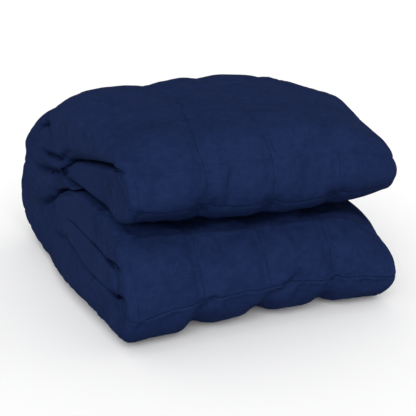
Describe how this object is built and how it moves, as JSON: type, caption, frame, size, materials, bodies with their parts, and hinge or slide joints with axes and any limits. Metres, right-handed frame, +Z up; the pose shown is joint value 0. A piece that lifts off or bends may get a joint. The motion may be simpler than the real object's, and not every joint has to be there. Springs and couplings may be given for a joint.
{
  "type": "folded weighted blanket",
  "caption": "Folded navy blue weighted blanket: thick quilted cloth with sewn pockets, folded in three and then into a soft pile of thick layers with round front folds.",
  "frame": {"origin": "under the middle of the pile, on the surface that it lies on", "axes": "+Z up, +X across the folded width towards the hemmed side, +Y from the two front folds to the single back fold"},
  "size_m": [0.4096, 0.519, 0.2887],
  "materials": {
    "navy_cloth": "matte"
  },
  "bodies": {
    "root": {"blanket": "navy_cloth"}
  },
  "joints": []
}
